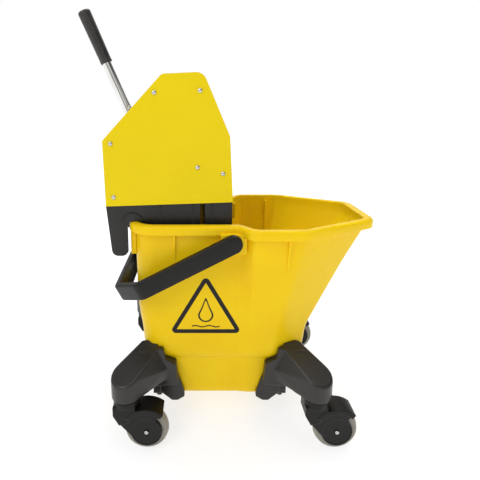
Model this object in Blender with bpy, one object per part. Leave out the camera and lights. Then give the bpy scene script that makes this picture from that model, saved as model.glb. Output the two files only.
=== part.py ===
"""Mop bucket with press wringer. Metres, +Z up, +X toward the pouring spout, floor at z = 0."""

import math

import bmesh
import bpy
from mathutils import Matrix, Vector

for old in list(bpy.data.objects):
    bpy.data.objects.remove(old)

# Driving dimensions
ROUND = 18  # sides of a large round piece
SMALL = 10  # sides of a small round piece
ARC = 3  # steps of a rounded corner in plan
WALL = 0.0035  # bucket wall
GAP = 0.0004  # play between pieces that touch
RIM_TOP = 0.474
RIM_OUT = 0.013  # how far the rolled rim stands out
PIVOT = (0.0050, 0.4446)  # bail pivot, x and z
BAIL_DROP = 28.0  # degrees the bail hangs below level
BAIL_Y = 0.163  # middle of a bail arm
BAIL_R = 0.2675  # pivot to the middle of the crossbar
BAIL_W = 0.0365
BAIL_T = 0.015
LEVER = (-0.168, 0.575)  # lever axis, x and z
LEAN = 22.75  # degrees the lever leans back
LEVER_TIP = 0.3615  # lever axis to grip end
GRIP_LEN = 0.1150
TUBE_R = 0.0100
JAW = (-0.110, 0.362)  # jaw axis, x and z
JAW_REST = -13.0  # degrees the jaw leans back at rest
CRANK_R = 0.055
CRANK_REST = -30.0  # degrees of the crank from straight down
CASTOR_X = (-0.2145, 0.1825)
CASTOR_Y = 0.180
MIRROR_X = -0.0153
WHEEL_R = 0.0462
TRAIL = 0.042
COVER_OUT = 0.105  # outer face of a side cover
COVER_T = 0.0015
BODY_OUT = 0.103  # outer face of the press side walls
BODY_T = 0.006

# z, rear x, rear half width, jog x, jog x, wide half width, taper x, front x, front half width
BODY = [
    (0.455, -0.1990, 0.1245, 0.022, 0.047, 0.1594, 0.147, 0.3007, 0.0735),
    (0.385, -0.1990, 0.1245, 0.023, 0.047, 0.1535, 0.135, 0.2595, 0.078),
    (0.300, -0.1985, 0.1243, 0.023, 0.046, 0.1400, 0.118, 0.2150, 0.086),
    (0.255, -0.1940, 0.1240, 0.023, 0.046, 0.1330, 0.110, 0.1917, 0.091),
    (0.228, -0.1894, 0.1235, 0.023, 0.046, 0.1295, 0.106, 0.1775, 0.094),
    (0.187, -0.1870, 0.1230, 0.023, 0.046, 0.1270, 0.104, 0.1736, 0.095),
    (0.173, -0.1820, 0.1195, 0.023, 0.046, 0.1235, 0.100, 0.1690, 0.092),
    (0.166, -0.1720, 0.1150, 0.023, 0.046, 0.1180, 0.095, 0.1600, 0.088),
    (0.163, -0.1620, 0.1125, 0.023, 0.046, 0.1155, 0.092, 0.1500, 0.086),
    (0.090, -0.1560, 0.1095, 0.023, 0.046, 0.1130, 0.090, 0.1440, 0.084),
    (0.073, -0.1510, 0.1060, 0.023, 0.046, 0.1090, 0.087, 0.1390, 0.081),
    (0.066, -0.1420, 0.0980, 0.023, 0.046, 0.1010, 0.080, 0.1300, 0.074),
]
RIM = BODY[0][:7] + (0.3055, 0.0715)  # plan of the rim's outer edge

LOOKS = {
    "yellow_moulding": (0.83, 0.52, 0.008, 0.36, 0.0),
    "yellow_sheet": (0.82, 0.62, 0.010, 0.30, 0.0),
    "black_plastic": (0.021, 0.020, 0.018, 0.45, 0.0),
    "grey_tyre": (0.19, 0.18, 0.15, 0.60, 0.0),
    "black_rubber": (0.022, 0.022, 0.022, 0.65, 0.0),
    "chrome": (0.80, 0.80, 0.78, 0.12, 1.0),
    "steel": (0.56, 0.56, 0.55, 0.32, 1.0),
}


def paint(obj, look, origin=None):
    """Gives the object its material, smooth shading on round faces, and an origin on its joint's axis."""
    if origin:
        obj.data.transform(Matrix.Translation(-Vector(origin)))
        obj.location = origin
    obj.data.shade_smooth()
    obj.data.set_sharp_from_angle(angle=math.radians(32))
    r, g, b, rough, metal = LOOKS[look]
    mat = bpy.data.materials.new(obj.name + "_" + look)
    mat.use_nodes = True
    shader = mat.node_tree.nodes["Principled BSDF"]
    shader.inputs["Base Color"].default_value = (r, g, b, 1.0)
    shader.inputs["Roughness"].default_value = rough
    shader.inputs["Metallic"].default_value = metal
    mat.diffuse_color = (r, g, b, 1.0)
    obj.data.materials.clear()
    obj.data.materials.append(mat)
    return obj


def solid(name, verts, faces):
    mesh = bpy.data.meshes.new(name)
    mesh.from_pydata([tuple(v) for v in verts], [], faces)
    work = bmesh.new()
    work.from_mesh(mesh)
    bmesh.ops.remove_doubles(work, verts=work.verts, dist=1e-6)
    bmesh.ops.recalc_face_normals(work, faces=work.faces)
    if work.calc_volume(signed=True) < 0:
        bmesh.ops.reverse_faces(work, faces=work.faces)
    work.to_mesh(mesh)
    work.free()
    obj = bpy.data.objects.new(name, mesh)
    bpy.context.scene.collection.objects.link(obj)
    return obj


def loft(name, rings, ring_ends=False):
    """A skin through rings of equal length: capped, or closed on itself with ring_ends."""
    n = len(rings[0])
    verts = [p for ring in rings for p in ring]
    faces = []
    last = len(rings) if ring_ends else len(rings) - 1
    for i in range(last):
        a, b = i * n, ((i + 1) % len(rings)) * n
        for j in range(n):
            k = (j + 1) % n
            faces += [(a + j, a + k, b + k), (a + j, b + k, b + j)]
    if not ring_ends:
        faces.append(tuple(reversed(range(n))))
        faces.append(tuple(range((len(rings) - 1) * n, len(rings) * n)))
    return solid(name, verts, faces)


def rounded(corners, steps=ARC):
    """Closed outline with each corner (u, v, radius) rounded in the same number of steps."""
    out = []
    n = len(corners)
    for i in range(n):
        p = Vector(corners[i][:2])
        a = Vector(corners[i - 1][:2]) - p
        b = Vector(corners[(i + 1) % n][:2]) - p
        turn = a.angle(b)
        r = max(corners[i][2], 1e-5)
        reach = min(r / math.tan(turn / 2), 0.48 * min(a.length, b.length))
        r = reach * math.tan(turn / 2)
        mid = (a.normalized() + b.normalized()).normalized() * (r / math.sin(turn / 2))
        centre = p + mid
        start = p + a.normalized() * reach - centre
        end = p + b.normalized() * reach - centre
        sweep = math.atan2(start.x * end.y - start.y * end.x, start.dot(end))
        for s in range(steps + 1):
            t = sweep * s / steps
            c, d = math.cos(t), math.sin(t)
            out.append((centre.x + start.x * c - start.y * d, centre.y + start.x * d + start.y * c))
    return out


def prism(name, outline, y0, y1):
    """Outline in x and z, drawn out from y0 to y1."""
    return loft(name, [[(x, y0, z) for x, z in outline], [(x, y1, z) for x, z in outline]])


def box(name, lo, hi):
    x0, y0, z0 = lo
    x1, y1, z1 = hi
    return prism(name, [(x0, z0), (x1, z0), (x1, z1), (x0, z1)], y0, y1)


def turned(name, profile, place, axis, sides):
    """Profile of (distance along axis, radius) turned about the axis through place."""
    axis = Vector(axis).normalized()
    side = axis.orthogonal().normalized()
    other = axis.cross(side)
    place = Vector(place)
    rings = []
    for along, radius in profile:
        ring = []
        for i in range(sides):
            t = 2 * math.pi * (i + 0.5) / sides
            ring.append(place + axis * along + radius * (side * math.cos(t) + other * math.sin(t)))
        rings.append(ring)
    return rings


def rod(name, start, end, radius, sides=SMALL):
    axis = Vector(end) - Vector(start)
    return loft(name, turned(name, [(0, radius), (axis.length, radius)], start, axis, sides))


def hull(name, points):
    work = bmesh.new()
    for p in points:
        work.verts.new(p)
    found = bmesh.ops.convex_hull(work, input=work.verts)
    bmesh.ops.delete(work, geom=list(set(found["geom_interior"] + found["geom_unused"])), context="VERTS")
    bmesh.ops.dissolve_limit(work, angle_limit=0.01, verts=work.verts, edges=work.edges)
    bmesh.ops.recalc_face_normals(work, faces=work.faces)
    mesh = bpy.data.meshes.new(name)
    work.to_mesh(mesh)
    work.free()
    obj = bpy.data.objects.new(name, mesh)
    bpy.context.scene.collection.objects.link(obj)
    return obj


def combine(obj, others, how):
    for other in others:
        step = obj.modifiers.new("join", "BOOLEAN")
        step.operation = how
        step.solver = "EXACT"
        step.object = other
        other.hide_render = True
        other.display_type = "WIRE"
        with bpy.context.temp_override(object=obj, active_object=obj):
            bpy.ops.object.modifier_apply(modifier=step.name)
        bpy.data.objects.remove(other)
    work = bmesh.new()
    work.from_mesh(obj.data)
    bmesh.ops.remove_doubles(work, verts=work.verts, dist=5e-6)
    bmesh.ops.dissolve_degenerate(work, edges=work.edges, dist=5e-6)
    bmesh.ops.triangulate(work, faces=work.faces)
    work.to_mesh(obj.data)
    work.free()
    return obj


def add(obj, *others):
    return combine(obj, others, "UNION")


def cut(obj, *others):
    return combine(obj, others, "DIFFERENCE")


def plan(level, out):
    """Plan outline of the bucket at a level, moved outward by out."""
    z, xr, yr, xa, xb, yw, xw, xf, yf = level
    half = [(xr, yr, 0.045, 1), (xa, yr, 0.014, -1), (xb, yw, 0.012, 1), (xw, yw, 0.045, 1), (xf, yf, 0.024, 1)]
    pts = [(x, -y, r, s) for x, y, r, s in half] + [(x, y, r, s) for x, y, r, s in reversed(half)]
    n = len(pts)
    moved = []
    for i in range(n):
        p, a, b = (Vector(pts[k % n][:2]) for k in (i, i - 1, i + 1))
        d0, d1 = (p - a).normalized(), (b - p).normalized()
        n0, n1 = Vector((d0.y, -d0.x)), Vector((d1.y, -d1.x))
        m = (n0 + n1).normalized()
        q = p + m * (out / max(m.dot(n0), 0.3))
        moved.append((q.x, q.y, max(pts[i][2] + pts[i][3] * out, 0.004)))
    return rounded(moved)


def level_at(z):
    for a, b in zip(BODY, BODY[1:]):
        if b[0] <= z <= a[0]:
            t = (z - b[0]) / (a[0] - b[0])
            return tuple(q + (p - q) * t for p, q in zip(a, b))
    return BODY[0] if z > BODY[0][0] else BODY[-1]


def ring_at(level, out, z):
    return [(x, y, z) for x, y in plan(level, out)]


def bucket():
    top = BODY[0]
    rings = [ring_at(v, 0.0, v[0]) for v in reversed(BODY)]
    lip = [(0.0085, 0.4530), (0.0120, 0.4555), (RIM_OUT, 0.4610), (RIM_OUT, 0.4680), (0.0105, 0.4725),
           (0.0060, RIM_TOP), (0.0005, 0.4735), (-WALL, 0.4700)]
    rings += [ring_at(RIM if out > 0.004 else top, out, z) for out, z in lip]
    rings += [ring_at(v, -WALL, v[0] + (WALL if v[0] < 0.3 else 0.0)) for v in BODY]
    shell = loft("bucket", rings)
    extra = []
    for s in (-1, 1):
        ys = (0.118 * s, 0.1515 * s)
        pad = [(-0.0190, 0.4600), (-0.0190, 0.4230), (-0.0080, 0.4180), (0.0300, 0.4180), (0.0330, 0.4600)]
        extra.append(prism("pad", pad, min(ys), max(ys)))
        for x, z, y0, y1 in ((-0.114, 0.388, 0.1230, 0.1345), (0.117, 0.352, 0.1480, 0.1690)):
            low = level_at(z)
            y_low = (low[2] if x < 0 else low[5]) - 0.001
            skin = [(x - 0.0025, s * y0, 0.460), (x - 0.0025, s * y1, 0.460), (x - 0.0025, s * y_low, z),
                    (x - 0.0025, s * (y0 - 0.0009), z)]
            extra.append(loft("rib", [skin, [(p[0] + 0.005, p[1], p[2]) for p in skin]]))
        extra.append(box("fin", (-0.2085, s * 0.092 - 0.0025, 0.400), (-0.1970, s * 0.092 + 0.0025, 0.458)))
        extra.append(box("fin", (-0.2085, s * 0.046 - 0.0025, 0.400), (-0.1970, s * 0.046 + 0.0025, 0.458)))
    return add(shell, *extra)


def bucket_block():
    """The bucket's outer skin with a little play, as a cutter."""
    play = 0.0008
    levels = [v for v in BODY if v[0] < 0.31]
    rings = [ring_at(levels[-1], play, levels[-1][0] - play)]
    rings += [ring_at(v, play, v[0] - (play if v[0] < 0.17 else 0.0)) for v in reversed(levels)]
    return loft("bucket_block", rings)


def arc(cx, cz, r, a0, a1, steps):
    return [(cx + r * math.cos(math.radians(a0 + (a1 - a0) * i / steps)),
             cz + r * math.sin(math.radians(a0 + (a1 - a0) * i / steps))) for i in range(steps + 1)]


SOCKET_LOW = 0.1215  # underside of a castor socket
BOLT = (-0.1550, 0.0900)  # bolt under the rear bar, x and y
# x, y, z of an arm's root where it leaves the tub
ARM = [(-0.1539, 0.1385, 0.1965), (-0.1539, 0.1080, 0.2080), (-0.1870, 0.1080, 0.2030), (-0.1960, 0.1080, 0.1930),
       (-0.1960, 0.1080, 0.1500), (-0.1680, 0.1080, 0.1225), (-0.1680, 0.1385, 0.1225), (-0.1350, 0.1385, 0.1260),
       (-0.1350, 0.1080, 0.1260), (-0.1310, 0.1385, 0.1500), (-0.1310, 0.1080, 0.1500)]


def arm_top(x, y):
    """Height of the flat sloping top of an arm, with x as on the rear arm."""
    return 0.1965 + 0.1517 * (x + 0.1539) - 0.3777 * (y - 0.1385)


def yoke(name, front):
    """Cradle round both lower corners, a bar under the tub, and two arms with castor sockets."""
    flip = -1 if front else 1

    def at(x):
        return x if not front else 2 * MIRROR_X - x

    high = [(-0.1900, 0.1932, 0.006), (-0.1960, 0.1850, 0.006), (-0.1960, 0.1500, 0.010), (-0.1740, 0.1200, 0.006),
            (-0.1660, 0.1090, 0.004), (-0.1500, 0.1080, 0.002), (-0.1085, 0.1120, 0.002), (-0.1130, 0.1610, 0.004),
            (-0.1360, 0.1740, 0.004), (-0.1402, 0.1985, 0.004)]
    low = [(-0.1500, 0.1200, 0.002), (-0.1500, 0.0840, 0.003), (-0.1440, 0.0770, 0.003), (-0.1240, 0.0600, 0.004),
           (-0.1080, 0.0600, 0.006), (-0.0950, 0.0740, 0.004), (-0.0950, 0.0860, 0.004), (-0.1075, 0.0980, 0.006),
           (-0.1100, 0.1200, 0.002)]
    if front:
        high = [(x - 0.006 if x < -0.17 and z > 0.14 else x, z, r) for x, z, r in high]
    high, low = ([(at(x), z) for x, z in rounded(side, 2)] for side in (high, low))
    cx = CASTOR_X[1] if front else CASTOR_X[0]
    pieces = []
    for s in (-1, 1):
        pieces.append(prism("cradle", high, *sorted((s * 0.095, s * 0.1370))))
        pieces.append(prism("foot", low, *sorted((s * 0.074, s * 0.1215))))
        arm = []
        for x, y, z in ARM:
            arm.append((at(x), s * y, z))
        for r, drop in ((0.0310, None), (0.0310, 0.0050), (0.0298, 0.0018), (0.0270, 0.0)):
            for i in range(ROUND):
                t = 2 * math.pi * i / ROUND
                x, y = cx + r * math.cos(t), CASTOR_Y + r * math.sin(t)
                z = SOCKET_LOW if drop is None else arm_top(at(x), y) - drop
                arm.append((x, s * y, z))
        pieces.append(hull("arm", arm))
    bar = box(name, (min(at(-0.1460), at(-0.1090)), -0.0990, 0.0607), (max(at(-0.1460), at(-0.1090)), 0.0990, 0.0790))
    ends = sorted((at(-0.1680), at(-0.1430)))
    pieces.append(box("back", (ends[0], -0.1000, 0.0611), (ends[1], 0.1000, 0.0980)))
    add(bar, *pieces)
    cut(bar, bucket_block())
    holes = [rod("hole", (cx, s * CASTOR_Y, 0.100), (cx, s * CASTOR_Y, 0.1540), 0.00555) for s in (-1, 1)]
    holes += [rod("hole", (at(BOLT[0]), s * BOLT[1], 0.050), (at(BOLT[0]), s * BOLT[1], 0.0725), 0.0036, 10)
              for s in (-1, 1)]
    return cut(bar, *holes)


def yoke_bolt(name, x, y):
    rings = turned("b", [(0, 0.0058), (0.0010, 0.0070), (0.0060, 0.0070), (0.0060, 0.0032), (0.0160, 0.0032)],
                   (x, y, 0.0536), (0, 0, 1), 12)
    return loft(name, rings)


def castor():
    """Stem, hooded fork, axle rivet, hub and tyre of one castor, with its swivel axis at x = y = 0."""
    tag, cx, cy = "base", 0.0, 0.0
    wx, wz = cx + TRAIL, WHEEL_R
    stem = loft("stem_" + tag, turned("s", [(0, 0.0044), (0.0010, 0.0052), (0.0440, 0.0052), (0.0450, 0.0044)],
                                      (cx, cy, 0.1070), (0, 0, 1), SMALL))
    plate = [(cx - 0.0262, 0.1000), (cx - 0.0262, 0.0860), (cx - 0.0170, 0.0700)]
    plate += arc(wx, wz, 0.0362, 197, 414, 10)
    plate += arc(wx, wz, 0.0550, 52, 112, 4)
    plate += [(cx + 0.0140, 0.1010)]
    band = arc(wx, wz, 0.0556, 50, 140, 6) + arc(wx, wz, 0.0446, 140, 50, 4)
    neck = [(cx - 0.0262, 0.1060), (cx - 0.0262, 0.0860), (cx - 0.0140, 0.0640), (cx + 0.0060, 0.0700),
            (cx + 0.0200, 0.0960), (cx + 0.0200, 0.1066)]
    fork = loft("fork_" + tag, turned("c", [(0, 0.0240), (0.0030, 0.0270), (0.0160, 0.0270), (0.0175, 0.0258)],
                                      (cx, cy, 0.1012), (0, 0, 1), ROUND))
    add(fork, prism("neck", neck, cy - 0.0212, cy + 0.0212), prism("plate", plate, cy - 0.0192, cy + 0.0192),
        prism("band", band, cy - 0.0230, cy + 0.0230))
    cut(fork, rod("w", (wx, cy - 0.0136, wz), (wx, cy + 0.0136, wz), 0.0492, 20),
        rod("a", (wx, cy - 0.04, wz), (wx, cy + 0.04, wz), 0.0044, SMALL),
        rod("h", (cx, cy, 0.1062), (cx, cy, 0.1300), 0.0056, SMALL))
    pin = [(0, 0.0028), (0.0014, 0.0046), (0.0024, 0.0046), (0.0024, 0.0040), (0.0412, 0.0040), (0.0412, 0.0046),
           (0.0422, 0.0046), (0.0436, 0.0028)]
    axle = loft("axle_" + tag, turned("a", pin, (wx, cy - 0.0218, wz), (0, 1, 0), SMALL))
    hub = [(-0.0128, 0.0044), (-0.0128, 0.0100), (-0.0100, 0.0120), (-0.0116, 0.0308), (0.0116, 0.0308),
           (0.0100, 0.0120), (0.0128, 0.0100), (0.0128, 0.0044)]
    hub = loft("hub_" + tag, turned("h", hub, (wx, cy, wz), (0, 1, 0), ROUND), True)
    edge, side = WHEEL_R - 0.0007, WHEEL_R - 0.0045
    tread = [(-0.0120, 0.0316), (-0.0120, side), (-0.0080, edge), (0, WHEEL_R), (0.0080, edge), (0.0120, side),
             (0.0120, 0.0316)]
    tyre = loft("tyre_" + tag, turned("t", tread, (wx, cy, wz), (0, 1, 0), 24), True)
    low = min(v.co.z for v in tyre.data.vertices)
    for v in tyre.data.vertices:
        if v.co.z < 0.001:
            v.co.z -= low
    return ((stem, "steel"), (fork, "black_plastic"), (axle, "steel"), (hub, "black_plastic"), (tyre, "grey_tyre"))


def castors():
    """The same castor at each corner."""
    pieces = castor()
    for end, cx in (("rear", CASTOR_X[0]), ("front", CASTOR_X[1])):
        for side, cy in (("near", -CASTOR_Y), ("far", CASTOR_Y)):
            swivel = bpy.data.objects.new("swivel_" + end + "_" + side, None)
            bpy.context.scene.collection.objects.link(swivel)
            swivel.location = (cx, cy, 0)
            for piece, look in pieces:
                copy = bpy.data.objects.new(piece.name.replace("base", end + "_" + side), piece.data.copy())
                bpy.context.scene.collection.objects.link(copy)
                paint(copy, look, (TRAIL, 0, WHEEL_R) if look == "grey_tyre" or "hub" in copy.name else None)
                copy.parent = swivel
    for piece, _ in pieces:
        bpy.data.objects.remove(piece)


def bail_frame():
    drop = math.radians(BAIL_DROP)
    u = Vector((-math.cos(drop), 0, -math.sin(drop)))
    v = Vector((-math.sin(drop), 0, math.cos(drop)))
    return Vector((PIVOT[0], 0, PIVOT[1])), u, v


def bail():
    """U-section carrying handle: two arms, chamfered corners and a crossbar."""
    origin, u, v = bail_frame()
    out = BAIL_T / 2
    track = [(0.004, -BAIL_Y, 0), (0.210, -BAIL_Y, 0.024), (BAIL_R, -0.110, 0.020), (BAIL_R, 0.110, 0.020),
             (0.210, BAIL_Y, 0.024), (0.004, BAIL_Y, 0)]
    path = []
    for i, (r, y, rad) in enumerate(track):
        p = Vector((r, y))
        if not rad:
            path.append((p, None))
            continue
        a, b = Vector(track[i - 1][:2]) - p, Vector(track[i + 1][:2]) - p
        turn = a.angle(b)
        reach = rad / math.tan(turn / 2)
        centre = p + (a.normalized() + b.normalized()).normalized() * (rad / math.sin(turn / 2))
        s0, s1 = p + a.normalized() * reach - centre, p + b.normalized() * reach - centre
        sweep = math.atan2(s0.x * s1.y - s0.y * s1.x, s0.dot(s1))
        for k in range(4):
            t = sweep * k / 3
            path.append((centre + Vector((s0.x * math.cos(t) - s0.y * math.sin(t),
                                          s0.x * math.sin(t) + s0.y * math.cos(t))), None))
    pts = [p for p, _ in path]
    w, h = BAIL_W / 2, BAIL_W / 2 - 0.0035
    section = [(-w, -out), (w, -out), (w, out - 0.003), (w - 0.003, out), (-w + 0.003, out), (-w, out - 0.003)]
    section = [(-w, -out), (-h, -out), (-h, out - 0.005), (h, out - 0.005), (h, -out), (w, -out), (w, out - 0.003),
               (w - 0.003, out), (-w + 0.003, out), (-w, out - 0.003)]
    rings = []
    for i, p in enumerate(pts):
        d0 = (p - pts[i - 1]).normalized() if i else (pts[1] - p).normalized()
        d1 = (pts[i + 1] - p).normalized() if i < len(pts) - 1 else d0
        n0, n1 = Vector((d0.y, -d0.x)), Vector((d1.y, -d1.x))
        m = (n0 + n1).normalized()
        m = m / max(m.dot(n0), 0.5)
        rings.append([origin + u * (p.x + m.x * t) + Vector((0, p.y + m.y * t, 0)) + v * q for q, t in section])
    strap = loft("bail", rings)
    for s in (-1, 1):
        y0, y1 = BAIL_Y - out, BAIL_Y + out
        rings = turned("e", [(y0, w), (y1 - 0.003, w), (y1, w - 0.003)], (origin.x, 0, origin.z), (0, s, 0), ROUND)
        add(strap, loft("end", rings))
    hole = rod("hole", (origin.x, -0.19, origin.z), (origin.x, 0.19, origin.z), 0.0064)
    return cut(strap, hole)


def bail_pin(name, s):
    rings = turned("p", [(0.1519, 0.0060), (0.1695, 0.0060), (0.1709, 0.0048)], (PIVOT[0], 0, PIVOT[1]), (0, s, 0), SMALL)
    return loft(name, rings)


COVER = [(-0.1357, 0.7727, 0.012), (-0.0545, 0.7765, 0.022), (-0.0004, 0.6514, 0.010), (0.0073, 0.5167, 0.001),
         (-0.2562, 0.5078, 0.001), (-0.2578, 0.6428, 0.008)]
RIVETS = [(-0.151, 0.737), (-0.061, 0.741), (-0.241, 0.637), (-0.239, 0.527), (-0.066, 0.589), (-0.014, 0.576)]
SIDE = [(0.0063, 0.5160, 0.002), (-0.0035, 0.6490, 0.008), (-0.0600, 0.7680, 0.020), (-0.1330, 0.7655, 0.010),
        (-0.2530, 0.6390, 0.006), (-0.2565, 0.5065, 0.004), (-0.2470, 0.3980, 0.007), (-0.2135, 0.3980, 0.007),
        (-0.2130, 0.4746, 0.003), (-0.1850, 0.4746, 0.003), (-0.1840, 0.4380, 0.010), (-0.1350, 0.3440, 0.012),
        (-0.0200, 0.3440, 0.010), (0.0063, 0.3720, 0.008)]


def press_body():
    """Side walls with hooks, rear panel, ledge over the rim, slotted floor and upper braces."""
    inner = BODY_OUT - BODY_T
    outline = rounded(SIDE, 2)
    body = box("press_body", (-0.2555, -inner - 0.002, 0.4790), (-0.2495, inner + 0.002, 0.5450))
    parts = []
    for s in (-1, 1):
        ys = sorted((s * inner, s * BODY_OUT))
        parts.append(prism("wall", outline, *ys))
        rib = arc(-0.2030, 0.4690, 0.0245, 14, 166, 6) + arc(-0.2030, 0.4690, 0.0205, 166, 14, 6)
        parts.append(prism("rib", rib, *sorted((s * (BODY_OUT - 0.001), s * (BODY_OUT + 0.0022)))))
        parts.append(prism("hook", [(-0.2541, 0.4863), (-0.2463, 0.4030), (-0.2150, 0.4030), (-0.2146, 0.4863)],
                           *sorted((s * (inner - 0.010), s * (inner + 0.002)))))
    parts.append(prism("ledge", [(-0.2523, 0.4751), (-0.1933, 0.4751), (-0.1933, 0.4802), (-0.2523, 0.4802)],
                       -inner - 0.002, inner + 0.002))
    parts.append(box("floor", (-0.0920, -inner - 0.002, 0.3720), (-0.0480, inner + 0.002, 0.3770)))
    parts.append(box("foot", (-0.0270, -inner - 0.002, 0.3480), (-0.0210, inner + 0.002, 0.3640)))
    add(body, *parts)
    cuts = []
    for k in range(-4, 5):
        cuts.append(box("slot", (-0.0870, k * 0.0205 - 0.0045, 0.360), (-0.0530, k * 0.0205 + 0.0045, 0.390)))
    for s in (-1, 1):
        ys = sorted((s * 0.08, s * 0.12))
        cuts.append(prism("drain", [(-0.0602, 0.3950), (-0.0510, 0.3950), (-0.0510, 0.5120), (-0.0602, 0.5120)], *ys))
        for x, z in RIVETS:
            cuts.append(rod("hole", (x, ys[0], z), (x, ys[1], z), 0.0026, 8))
        for x, z, r in ((LEVER[0], LEVER[1], 0.0056), (JAW[0], JAW[1], 0.0054)):
            cuts.append(rod("bore", (x, ys[0], z), (x, ys[1], z), r))
    return cut(body, *cuts)


def front_grille():
    lean = [(-0.0400, 0.3660), (-0.0350, 0.3660), (0.0000, 0.6000), (-0.0050, 0.6000)]
    grille = prism("front_grille", lean, -0.0966, 0.0966)
    cuts = []
    for k in range(-4, 5):
        cuts.append(prism("slot", [(-0.060, 0.385), (0.000, 0.385), (0.030, 0.585), (-0.030, 0.585)],
                          k * 0.0200 - 0.0045, k * 0.0200 + 0.0045))
    return cut(grille, *cuts)


def jaw_point(s, w):
    t = math.radians(JAW_REST)
    return (JAW[0] + s * math.cos(t) + w * math.sin(t), JAW[1] - s * math.sin(t) + w * math.cos(t))


def jaw():
    """Slotted pressure plate on its hinge barrel, with two slotted ears behind it."""
    plate = prism("jaw", [jaw_point(*p) for p in ((0.0, 0.004), (0.006, 0.004), (0.006, 0.205), (0.0, 0.205))],
                  -0.0940, 0.0940)
    extra = [rod("barrel", (JAW[0], -0.0940, JAW[1]), (JAW[0], 0.0940, JAW[1]), 0.0105, 16)]
    ear = [(0.002, 0.122, 0.001), (-0.044, 0.138, 0.006), (-0.061, 0.150, 0.008), (-0.061, 0.194, 0.008),
           (-0.040, 0.198, 0.004), (0.002, 0.198, 0.001)]
    for s in (-1, 1):
        extra.append(prism("ear", [jaw_point(*p) for p in rounded(ear, 2)], *sorted((s * 0.034, s * 0.042))))
    add(plate, *extra)
    cuts = [rod("bore", (JAW[0], -0.11, JAW[1]), (JAW[0], 0.11, JAW[1]), 0.0055)]
    track = [(-0.0472 + 0.0066 * math.cos(math.radians(a)), (0.1807 if a < 180 else 0.1588) +
              0.0066 * math.sin(math.radians(a))) for a in list(range(0, 181, 30)) + list(range(180, 361, 30))]
    cuts.append(prism("track", [jaw_point(*p) for p in track], -0.06, 0.06))
    for k in range(-4, 5):
        if abs(k) == 2:
            continue
        cuts.append(prism("slot", [jaw_point(*p) for p in ((-0.004, 0.030), (0.010, 0.030), (0.010, 0.115),
                                                            (-0.004, 0.115))], k * 0.0190 - 0.004, k * 0.0190 + 0.004))
    return cut(plate, *cuts)


def crank_pin():
    a = math.radians(CRANK_REST)
    return (LEVER[0] + CRANK_R * math.sin(a), LEVER[1] - CRANK_R * math.cos(a))


def along_lever(s):
    a = math.radians(LEAN)
    return Vector((LEVER[0] - s * math.sin(a), 0, LEVER[1] + s * math.cos(a)))


def lever_hub():
    x, z = LEVER
    px, pz = crank_pin()
    hub = rod("lever_hub", (x, -0.0280, z), (x, 0.0280, z), 0.0160, 20)
    extra = []
    for s in (-1, 1):
        pts = []
        for y in (s * 0.0175, s * 0.0275):
            pts += [(p, y, q) for p, q in arc(x, z, 0.0145, 0, 330, 11)]
            pts += [(p, y, q) for p, q in arc(px, pz, 0.0095, 0, 330, 11)]
        extra.append(hull("arm", pts))
    extra.append(rod("boss", along_lever(0.004), along_lever(0.062), 0.0143, 18))
    add(hub, *extra)
    return cut(hub, rod("bore", (x, -0.05, z), (x, 0.05, z), 0.0056), rod("pin", (px, -0.05, pz), (px, 0.05, pz), 0.0053),
               rod("socket", along_lever(0.0200), along_lever(0.080), TUBE_R + GAP, 18))


def grip_profile():
    low = LEVER_TIP - GRIP_LEN
    return [(low, TUBE_R + GAP), (low, 0.0124), (low + 0.0020, 0.0132), (low + 0.0060, 0.0128),
            (LEVER_TIP - 0.0060, 0.0138), (LEVER_TIP - 0.0015, 0.0134), (LEVER_TIP, 0.0110),
            (LEVER_TIP, 0.0001), (LEVER_TIP - 0.0030, 0.0001), (LEVER_TIP - 0.0030, TUBE_R + GAP)]


def spring(name, s):
    """Return spring wound on the lever shaft."""
    turns, steps, sides, wire, radius = 5, 10, 5, 0.0011, 0.0085
    rings = []
    for i in range(turns * steps + 1):
        t = 2 * math.pi * i / steps
        y = s * (0.0400 + 0.0034 * i / steps)
        ring = []
        for k in range(sides):
            q = 2 * math.pi * k / sides
            r = radius + wire * math.cos(q)
            ring.append((LEVER[0] + r * math.cos(t), y + wire * math.sin(q), LEVER[1] + r * math.sin(t)))
        rings.append(ring)
    return loft(name, rings)


def cover(name, s):
    sheet = prism(name, rounded(COVER, 3), *sorted((s * (COVER_OUT - COVER_T), s * COVER_OUT)))
    return cut(sheet, *[rod("hole", (x, s * 0.09, z), (x, s * 0.12, z), 0.0026, 8) for x, z in RIVETS],
               rod("notch", (-0.2030, s * 0.09, 0.4690), (-0.2030, s * 0.12, 0.4690), 0.0275, 24))


HEAD = [(COVER_OUT + GAP, 0.0021), (COVER_OUT + GAP, 0.0046), (COVER_OUT + 0.0014, 0.0043),
        (COVER_OUT + 0.0024, 0.0030), (COVER_OUT + 0.0029, 0.0012)]


def rivet(name, x, z, s):
    return loft(name, turned("r", [(0.0955, 0.0021)] + HEAD, (x, 0, z), (0, s, 0), 12))


def tie_rod(name, x, z):
    """A rod right through both covers with a domed head at each end."""
    rings = [(-y, r) for y, r in reversed(HEAD)] + HEAD
    return loft(name, turned("r", rings, (x, 0, z), (0, 1, 0), 12))


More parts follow.
